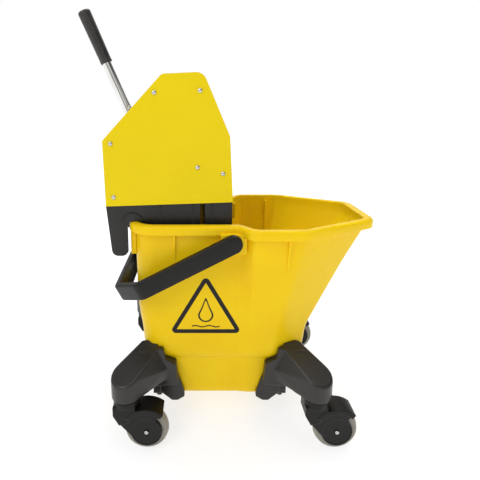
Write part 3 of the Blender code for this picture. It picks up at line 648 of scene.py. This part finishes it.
def castor_meshes():
    """Fork, axle rivet, hub and tyre of one castor, with its swivel axis at x = y = 0."""
    wx, wz = TRAIL, WHEEL_R
    plate = [(-0.0262, 0.1000), (-0.0262, 0.0860), (-0.0170, 0.0700)]
    plate += arc(wx, wz, CHEEK_R, 197, 414, 40) + arc(wx, wz, 0.0550, 52, 112, 16) + [(0.0140, 0.1010)]
    band = arc(wx, wz, 0.0556, 50, 140, 28) + arc(wx, wz, 0.0446, 140, 50, 28)
    neck = [(-0.0262, 0.1060), (-0.0262, 0.0860), (-0.0140, 0.0640), (0.0060, 0.0700), (0.0200, 0.0960),
            (0.0200, 0.1066)]
    fork = loft("fork", turned([(0, 0.0240), (0.0030, 0.0270), (0.0160, 0.0270), (0.0175, 0.0258)],
                               (0, 0, 0.1012), (0, 0, 1), 56))
    add(fork, prism("neck", neck, -0.0212, 0.0212), prism("plate", plate, -0.0192, 0.0192),
        prism("band", band, -0.0230, 0.0230))
    cut(fork, rod("wheel_room", (wx, -0.0136, wz), (wx, 0.0136, wz), 0.0492, 64))
    for s in (-1, 1):
        cut(fork, rod("dish", (wx, s * 0.0178, wz), (wx, s * 0.0300, wz), DISH_R, 64))
    cut(fork, rod("axle_hole", (wx, -0.04, wz), (wx, 0.04, wz), 0.0044),
        rod("stem_hole", (0, 0, 0.1062), (0, 0, 0.1300), 0.0057))
    soften(fork, 0.0009, 3, 0.30)
    pin = [(-0.0218, 0.0010), (-0.0216, 0.0026), (-0.0206, 0.0040), (-0.0196, 0.0045), (-0.0192, 0.0045),
           (-0.0192, 0.0039)]
    axle = loft("axle", turned(pin + [(-a, r) for a, r in reversed(pin)], (wx, 0, wz), (0, 1, 0), 28))
    side = [(-0.0128, 0.0044), (-0.0128, 0.0092), (-0.0122, 0.0100), (-0.0098, 0.0106), (-0.0088, 0.0125),
            (-0.0088, 0.0255), (-0.0098, 0.0275), (-0.0112, 0.0285), (-0.0116, 0.0300), (-0.0112, 0.0308)]
    hub = loft("hub", turned(side + [(-a, r) for a, r in reversed(side)], (wx, 0, wz), (0, 1, 0), 56), True)
    edge = [(-0.0112, 0.0316, 0), (-0.0120, 0.0330, 0.001), (-0.0120, 0.0427, 0.0035),
            (0, WHEEL_R + 0.0004, 0.012), (0.0120, 0.0427, 0.0035), (0.0120, 0.0330, 0.001),
            (0.0112, 0.0316, 0)]
    edge = open_path(edge, 5)
    edge = [(a, min(r, WHEEL_R)) for a, r in edge]
    tyre = loft("tyre", turned(edge, (wx, 0, wz), (0, 1, 0), 96), True)
    return {"fork": (fork, BLACK_DEEP, "black_plastic", 50), "axle": (axle, STEEL, "steel", 30),
            "hub": (hub, BLACK, "black_plastic", 30), "tyre": (tyre, TYRE, "grey_tyre", 40)}


def castors():
    pieces = castor_meshes()
    for end, cx in (("rear", CASTOR_X[0]), ("front", CASTOR_X[1])):
        for side, s in SIDES:
            key = end + "_" + side
            for name, (piece, mat, slot, angle) in pieces.items():
                mesh = piece.data.copy()
                mesh.transform(Matrix.Translation((cx, s * CASTOR_Y, 0)))
                obj = bpy.data.objects.new("castor_" + name + "_" + key, mesh)
                bpy.context.scene.collection.objects.link(obj)
                body = ("castor_" if name in ("fork", "axle") else "wheel_") + key
                finish(obj, mat, body, [name + "_" + key], angle)
    for piece, *_ in pieces.values():
        bpy.data.objects.remove(piece)


castors()


# ---------------------------------------------------------------- bail
def bail():
    """Carrying handle of U section: two arms, chamfered corners, a crossbar and closed round ends."""
    drop = math.radians(BAIL_DROP)
    u = Vector((-math.cos(drop), 0, -math.sin(drop)))
    v = Vector((-math.sin(drop), 0, math.cos(drop)))
    origin = Vector((PIVOT[0], 0, PIVOT[1]))
    out, w = BAIL_T / 2, BAIL_W / 2
    track = [(0.004, -BAIL_Y, 0), (0.210, -BAIL_Y, 0.024), (BAIL_R, -0.110, 0.020), (BAIL_R, 0.110, 0.020),
             (0.210, BAIL_Y, 0.024), (0.004, BAIL_Y, 0)]
    pts = [Vector(p) for p in open_path(track, 8)]
    h = w - 0.0035
    section = rounded([(-w, -out, 0.0008), (-h, -out, 0.0008), (-h, out - 0.005, 0.002),
                       (h, out - 0.005, 0.002), (h, -out, 0.0008), (w, -out, 0.0008), (w, out, 0.0035),
                       (-w, out, 0.0035)], 4)
    rings = []
    for i, p in enumerate(pts):
        d0 = (p - pts[i - 1]).normalized() if i else (pts[1] - p).normalized()
        d1 = (pts[i + 1] - p).normalized() if i < len(pts) - 1 else d0
        n0, n1 = Vector((d0.y, -d0.x)), Vector((d1.y, -d1.x))
        m = (n0 + n1).normalized()
        m = m / max(m.dot(n0), 0.5)
        rings.append([origin + u * (p.x + m.x * t) + Vector((0, p.y + m.y * t, 0)) + v * q
                      for q, t in section])
    parts = [loft("strap", rings)]
    for _, s in SIDES:
        y0, y1 = BAIL_Y - out, BAIL_Y + out
        end = [(y0 + 0.0110, 0.0004), (y0 + 0.0110, 0.0066), (y0, 0.0066), (y0, w - 0.001), (y0 + 0.001, w)]
        end += [(y1 - 0.0035 + 0.0035 * math.sin(a * math.pi / 12),
                 w - 0.0035 + 0.0035 * math.cos(a * math.pi / 12)) for a in range(7)]
        end += [(y1 + 0.0002, w - 0.0040), (y1 + 0.0002, 0.0004)]
        parts.append(loft("end", turned(end, (origin.x, 0, origin.z), (0, s, 0), 64)))
    return join("bail_strap", parts)


finish(bail(), BLACK_DEEP, "bail", ["bail"], 32)


def bail_pin(tag, s):
    profile = [(0.1519, 0.0060), (0.1652, 0.0060), (0.1660, 0.0052), (0.1660, 0.0005)]
    obj = loft("pivot_" + tag, turned(profile, (PIVOT[0], 0, PIVOT[1]), (0, s, 0), 32))
    finish(obj, BLACK, "bucket", ["bail_pin_" + tag])


for tag, sign in SIDES:
    bail_pin(tag, sign)


# ---------------------------------------------------------------- press
BEND_RISE = 0.0095  # height of the bend above a cover's lower edge
BEND_SLOPE = 0.24


def cover(tag, s):
    """Sheet cover with a shallow bend along its lower edge."""
    obj = prism("cover_sheet_" + tag, rounded(COVER, 10), *sorted((s * (COVER_OUT - COVER_T), s * COVER_OUT)))
    cut(obj, rod("notch", (-0.2030, s * 0.09, 0.4690), (-0.2030, s * 0.12, 0.4690), 0.0275, 64))
    bm = bmesh.new()
    bm.from_mesh(obj.data)
    low, high = Vector((-0.2562, 0, 0.5078)), Vector((0.0073, 0, 0.5167))
    along = (high - low).normalized()
    up = Vector((-along.z, 0, along.x))
    for rise in (0.0105, 0.0085):
        bmesh.ops.bisect_plane(bm, geom=bm.verts[:] + bm.edges[:] + bm.faces[:],
                               plane_co=low + up * rise, plane_no=up)
    for vert in bm.verts:
        rise = (vert.co - low).dot(up)
        if rise < BEND_RISE:
            vert.co.y += s * (BEND_RISE - rise) * BEND_SLOPE
    bm.to_mesh(obj.data)
    bm.free()
    bevel(obj, 0.0006, 2, 50)
    finish(obj, SHEET, "bucket", ["cover_" + tag], 20)


def rivet_head(name, x, z, s, node):
    profile = [(COVER_OUT - 0.0080, 0.0020), (COVER_OUT + 0.0002, 0.0020), (COVER_OUT + 0.0002, 0.0044),
               (COVER_OUT + 0.0008, 0.0046)]
    profile += [(COVER_OUT + 0.0008 + 0.0024 * math.sin(a * math.pi / 14),
                 0.0046 * math.cos(a * math.pi / 14)) for a in range(1, 7)]
    obj = loft(name, turned(profile, (x, 0, z), (0, s, 0), 32))
    finish(obj, STEEL, "bucket", [node] if node else [])


for tag, sign in SIDES:
    cover(tag, sign)
    for place, (rx, rz) in zip(("mid", "low", "pivot", "front"), RIVETS[2:]):
        rivet_head("rivet_head_" + place + "_" + tag, rx, rz, sign, "rivet_" + place + "_" + tag)
for place, (rx, rz) in (("rear", RIVETS[0]), ("front", RIVETS[1])):
    for tag, sign in SIDES:
        rivet_head("tie_head_" + place + "_" + tag, rx, rz, sign, "tie_rod_" + place if sign < 0 else None)
    ends = [(-0.0966, 0.0030), (-0.0966, 0.0066), (-0.0962, 0.0070), (0.0962, 0.0070), (0.0966, 0.0066),
            (0.0966, 0.0030)]
    sleeve = loft("tie_sleeve_" + place, turned(ends, (rx, 0, rz), (0, 1, 0), 32), True)
    finish(sleeve, STEEL, "bucket", ["tie_tube_" + place])


def press_walls():
    """Side walls with hooks and raised ribs, rear panel, ledge over the rim and slotted floor."""
    inner = BODY_OUT - BODY_T
    outline = rounded(SIDE, 6)
    drain = rounded([(-0.0602, 0.3950, 0.002), (-0.0510, 0.3950, 0.002), (-0.0510, 0.5120, 0.002),
                     (-0.0602, 0.5120, 0.002)], 3)
    hook = [(-0.2541, 0.4863), (-0.2463, 0.4030), (-0.2150, 0.4030), (-0.2146, 0.4863)]
    parts = []
    for _, s in SIDES:
        wall = prism("wall", outline, *sorted((s * inner, s * BODY_OUT)))
        cut(wall, prism("drain", drain, *sorted((s * 0.08, s * 0.12))))
        parts.append(bevel(wall, 0.0011, 3, 40))
        rib = arc(-0.2030, 0.4690, 0.0245, 14, 166, 30) + arc(-0.2030, 0.4690, 0.0205, 166, 14, 30)
        rib = prism("rib", rib, *sorted((s * (BODY_OUT - 0.002), s * (BODY_OUT + 0.0022))))
        parts.append(bevel(rib, 0.0009))
        y0, y1 = sorted((s * (BODY_OUT - 0.002), s * (BODY_OUT + 0.0007)))
        for x in (-0.1425, -0.0760, -0.0350):
            stiffener = box("stiffener", (x - 0.0018, y0, 0.360), (x + 0.0018, y1, 0.5200))
            parts.append(bevel(stiffener, 0.0008, 2))
        parts.append(bevel(prism("hook", hook, *sorted((s * (inner - 0.010), s * (inner + 0.002)))), 0.0012))
    reach = inner + 0.002
    parts.append(bevel(box("panel", (-0.2555, -reach, 0.4790), (-0.2495, reach, 0.5450)), 0.0012))
    parts.append(bevel(box("ledge", (-0.2523, -reach, 0.4751), (-0.1933, reach, 0.4802)), 0.0010))
    floor = box("floor", (-0.0920, -reach, 0.3720), (-0.0480, reach, 0.3770))
    cut(floor, *[box("slot", (-0.0870, k * 0.0205 - 0.0045, 0.360), (-0.0530, k * 0.0205 + 0.0045, 0.390))
                 for k in range(-4, 5)])
    parts.append(bevel(floor, 0.0008, 2))
    parts.append(bevel(box("foot", (-0.0270, -reach, 0.3480), (-0.0210, reach, 0.3640)), 0.0010))
    return join("press_frame", parts)


finish(press_walls(), BLACK_FINE, "bucket", ["press_body"])


def jaw_point(s, w):
    """x and z of a point of the jaw, s out of its plane and w up it."""
    t = math.radians(JAW_REST)
    return (JAW[0] + s * math.cos(t) + w * math.sin(t), JAW[1] - s * math.sin(t) + w * math.cos(t))


def jaw():
    """Slotted pressure plate on its hinge barrel, with two slotted ears behind it."""
    outline = [(0.0, 0.004), (0.006, 0.004), (0.006, 0.205), (0.0, 0.205)]
    slot = [(-0.004, 0.030), (0.010, 0.030), (0.010, 0.115), (-0.004, 0.115)]
    plate = prism("plate", [jaw_point(*p) for p in outline], -0.0940, 0.0940)
    cut(plate, *[prism("slot", [jaw_point(*p) for p in slot], k * 0.0190 - 0.004, k * 0.0190 + 0.004)
                 for k in range(-4, 5) if abs(k) != 2])
    parts = [bevel(plate, 0.0009, 2)]
    barrel = [(-0.0940, 0.0055), (-0.0940, 0.0098), (-0.0933, 0.0105), (0.0933, 0.0105), (0.0940, 0.0098),
              (0.0940, 0.0055)]
    parts.append(loft("barrel", turned(barrel, (JAW[0], 0, JAW[1]), (0, 1, 0), 40), True))
    ear = [(0.002, 0.122, 0.001), (-0.044, 0.138, 0.006), (-0.061, 0.150, 0.008), (-0.061, 0.194, 0.008),
           (-0.040, 0.198, 0.004), (0.002, 0.198, 0.001)]
    track = []
    for w, start in ((0.1807, 0), (0.1588, 180)):
        for a in range(start, start + 181, 15):
            turn = math.radians(a)
            track.append((-0.0472 + 0.0066 * math.cos(turn), w + 0.0066 * math.sin(turn)))
    for _, s in SIDES:
        one = prism("ear", [jaw_point(*p) for p in rounded(ear, 6)], *sorted((s * 0.034, s * 0.042)))
        cut(one, prism("track", [jaw_point(*p) for p in track], *sorted((s * 0.02, s * 0.06))))
        parts.append(bevel(one, 0.0009, 2, 40))
    return join("jaw_plate", parts)


finish(jaw(), BLACK_FINE, "jaw", ["jaw"])


def grille():
    lean = [(-0.0400, 0.3660), (-0.0350, 0.3660), (0.0000, 0.6000), (-0.0050, 0.6000)]
    obj = prism("grille_plate", lean, -0.0966, 0.0966)
    cut(obj, *[prism("slot", [(-0.060, 0.385), (0.000, 0.385), (0.030, 0.585), (-0.030, 0.585)],
                     k * 0.0200 - 0.0045, k * 0.0200 + 0.0045) for k in range(-4, 5)])
    return bevel(obj, 0.0009, 2)


finish(grille(), BLACK_FINE, "bucket", ["front_grille"])


# ---------------------------------------------------------------- lever
def crank_pin():
    a = math.radians(CRANK_REST)
    return LEVER[0] + CRANK_R * math.sin(a), LEVER[1] - CRANK_R * math.cos(a)


UP = Vector((-math.sin(math.radians(LEAN)), 0, math.cos(math.radians(LEAN))))
AXLE = Vector((LEVER[0], 0, LEVER[1]))


def lever_hub():
    (x, z), (px, pz) = LEVER, crank_pin()
    hub = rod("lever_root", (x, -0.0280, z), (x, 0.0280, z), 0.0160, 48)
    extra = []
    for _, s in SIDES:
        pts = []
        for y in (s * 0.0175, s * 0.0275):
            pts += [(p, y, q) for p, q in arc(x, z, 0.0145, 0, 350, 35)]
            pts += [(p, y, q) for p, q in arc(px, pz, 0.0095, 0, 350, 35)]
        extra.append(hull("arm", pts))
    extra.append(rod("boss", AXLE + UP * 0.004, AXLE + UP * 0.062, 0.0143, 48))
    add(hub, *extra)
    cut(hub, rod("bore", (x, -0.05, z), (x, 0.05, z), 0.0056),
        rod("pin", (px, -0.05, pz), (px, 0.05, pz), 0.0053),
        rod("socket", AXLE + UP * 0.0200, AXLE + UP * 0.080, TUBE_R + 0.0004, 48))
    return soften(hub, 0.0010, 3, 0.35)


finish(lever_hub(), BLACK, "lever", ["lever_hub"], 50)
tube_end = LEVER_TIP - 0.0035
tube = [(0.0205, TUBE_R - 0.0015), (0.0205, TUBE_R), (tube_end, TUBE_R), (tube_end, TUBE_R - 0.0015)]
finish(loft("chrome_tube", turned(tube, AXLE, UP, 64), True), CHROME, "lever", ["lever_tube"])


def grip():
    low = LEVER_TIP - GRIP_LEN
    profile = [(low + 0.004, TUBE_R + 0.0003), (low + 0.0006, TUBE_R + 0.0004), (low, 0.0116),
               (low + 0.0006, 0.0124), (low + 0.0018, 0.0131), (low + 0.0042, 0.0131), (low + 0.0058, 0.0127)]
    body = 40
    for i in range(1, body + 1):
        t = i / body
        profile.append((low + 0.0058 + (GRIP_LEN - 0.0108) * t, 0.0127 + 0.0010 * t))
    end = LEVER_TIP - 0.0050
    profile += [(end + 0.0050 * math.sin(a * math.pi / 16), 0.0087 + 0.0050 * math.cos(a * math.pi / 16))
                for a in range(1, 9)]
    profile += [(LEVER_TIP - 0.0001, 0.0060), (LEVER_TIP - 0.0006, 0.0055), (LEVER_TIP - 0.0008, 0.0004),
                (LEVER_TIP - 0.0030, 0.0004), (LEVER_TIP - 0.0030, TUBE_R + 0.0003)]
    return loft("grip_sleeve", turned(profile, AXLE, UP, 72), True)


finish(grip(), GRIP, "lever", ["lever_grip"], 40)


def plain_rod(name, x, z, half, r, body, node):
    profile = [(-half, r - 0.0006), (-half + 0.0006, r), (half - 0.0006, r), (half, r - 0.0006)]
    finish(loft(name, turned(profile, (x, 0, z), (0, 1, 0), 32)), STEEL, body, [node])


plain_rod("jaw_axle", JAW[0], JAW[1], BODY_OUT, 0.0050, "bucket", "jaw_shaft")
plain_rod("lever_axle", LEVER[0], LEVER[1], BODY_OUT, 0.0052, "bucket", "lever_shaft")
plain_rod("crank_axle", crank_pin()[0], crank_pin()[1], 0.0460, 0.0049, "lever", "drive_pin")


def coil(tag, s):
    turns, steps, sides, wire, radius = 5, 36, 12, 0.0011, 0.0085
    rings = []
    for i in range(turns * steps + 1):
        t = 2 * math.pi * i / steps
        y = s * (0.0400 + 0.0034 * i / steps)
        rings.append([(LEVER[0] + (radius + wire * math.cos(q)) * math.cos(t), y + wire * math.sin(q),
                       LEVER[1] + (radius + wire * math.cos(q)) * math.sin(t))
                      for q in (2 * math.pi * k / sides for k in range(sides))])
    finish(loft("coil_" + tag, rings), STEEL, "bucket", ["lever_spring_" + tag])


for tag, sign in SIDES:
    coil(tag, sign)


# ---------------------------------------------------------------- carried over
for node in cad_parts:
    if node.startswith(("stem_", "yoke_bolt_")):
        piece = bpy.data.objects[node]
        piece.data.materials.clear()
        piece.data.materials.append(BOLT_STEEL if node.startswith("yoke_bolt_") else STEEL)


# ---------------------------------------------------------------- stage
WORLD = 0.42
CENTRE = (0, 0, 0.35)
# name, place, size, power, aim, spread in degrees
LIGHTS = [("key", (-1.5, -1.9, 2.4), (1.6, 1.6), 26, CENTRE, 180),
          ("top", (0.25, 0.2, 2.7), (1.8, 1.8), 24, CENTRE, 180),
          ("fill", (2.2, -1.2, 1.2), (1.2, 1.8), 3.5, CENTRE, 180),
          ("back", (0.4, 2.4, 1.8), (2.4, 1.4), 10, CENTRE, 180),
          ("mouth", (0.25, -0.45, 1.9), (0.1, 0.1), 0.10, (0.155, 0.02, 0.42), 12)]


def studio():
    """Pale floor that glows to white, banded grey for reflections, soft lights and the camera."""
    corners = ((-9, -9), (9, -9), (9, 9), (-9, 9))
    floor = solid("floor", [(x, y, -0.0003) for x, y in corners], [(0, 1, 2, 3)])
    m = Mat("floor")
    m.link(m.mix(m.ramp(m.noise(3.0, 2.0), 0.3, 0.7, 0.0, 1.0), (0.38, 0.38, 0.40, 1), (0.37, 0.37, 0.39, 1)),
           m.shader.inputs["Base Color"])
    m.shader.inputs["Roughness"].default_value = 0.9
    m.shader.inputs["Specular IOR Level"].default_value = 0.1
    m.shader.inputs["Emission Color"].default_value = (1, 1, 1, 1)
    far = m.node("ShaderNodeVectorMath", operation="LENGTH")
    m.link(m.coord, far.inputs[0])
    m.link(m.ramp(far.outputs["Value"], 0.25, 0.9, 0.73, 1.0), m.shader.inputs["Emission Strength"])
    floor.data.materials.append(m.mat)
    world = bpy.data.worlds.new("studio")
    bpy.context.scene.world = world
    world.use_nodes = True
    tree = world.node_tree
    tree.nodes.clear()

    def node(kind, *values):
        n = tree.nodes.new(kind)
        for socket, value in zip(n.inputs, values):
            if isinstance(value, bpy.types.NodeSocket):
                tree.links.new(value, socket)
            elif value is not None:
                socket.default_value = value
        return n

    path = node("ShaderNodeLightPath")
    split = node("ShaderNodeSeparateXYZ", node("ShaderNodeTexCoord").outputs["Generated"])
    turn = node("ShaderNodeMath", split.outputs["X"], split.outputs["Y"])
    turn.operation = "ARCTAN2"
    place = node("ShaderNodeMapRange", turn.outputs[0], -math.pi, math.pi, 0.0, 1.0)
    ramp = node("ShaderNodeValToRGB", place.outputs[0])
    stops = [(0.0, 0.95), (0.012, 0.95), (0.018, 0.15), (0.045, 0.15), (0.055, 1.0),
             (0.26, 1.0), (0.29, 0.60), (0.50, 0.50), (0.70, 0.42), (0.74, 0.10),
             (0.88, 0.12), (0.905, 0.95), (1.0, 0.95)]
    band = ramp.color_ramp
    while len(band.elements) < len(stops):
        band.elements.new(0.5)
    for element, (at, level) in zip(band.elements, stops):
        element.position = at
        element.color = (level, level, level, 1)
    soft = node("ShaderNodeBackground", (1, 1, 1, 1), WORLD)
    shine = node("ShaderNodeBackground", ramp.outputs[0], 0.75)
    white = node("ShaderNodeBackground", (1, 1, 1, 1), 1.0)
    lit = node("ShaderNodeMixShader", path.outputs["Is Glossy Ray"], soft.outputs[0], shine.outputs[0])
    seen = node("ShaderNodeMixShader", path.outputs["Is Camera Ray"], lit.outputs[0], white.outputs[0])
    node("ShaderNodeOutputWorld", seen.outputs[0])
    for name, place, size, power, aim, spread in LIGHTS:
        light = bpy.data.lights.new(name, "AREA")
        light.shape, light.size, light.size_y, light.energy = "RECTANGLE", size[0], size[1], power
        lamp = bpy.data.objects.new(name, light)
        bpy.context.scene.collection.objects.link(lamp)
        lamp.location = place
        light.spread = math.radians(spread)
        lamp.rotation_euler = (Vector(aim) - Vector(place)).to_track_quat("-Z", "Y").to_euler()
    cam = bpy.data.cameras.new("camera")
    cam.lens, cam.sensor_width = 30.6, 36.0
    cam.shift_x, cam.shift_y = 41.0 / 480, -48.3 / 480
    eye = bpy.data.objects.new("camera", cam)
    bpy.context.scene.collection.objects.link(eye)
    eye.location = (-0.063, -0.9258, 0.7132)
    eye.rotation_euler = (math.radians(78), 0, 0)
    bpy.context.scene.camera = eye
    bpy.context.scene.view_settings.view_transform = "Standard"


studio()
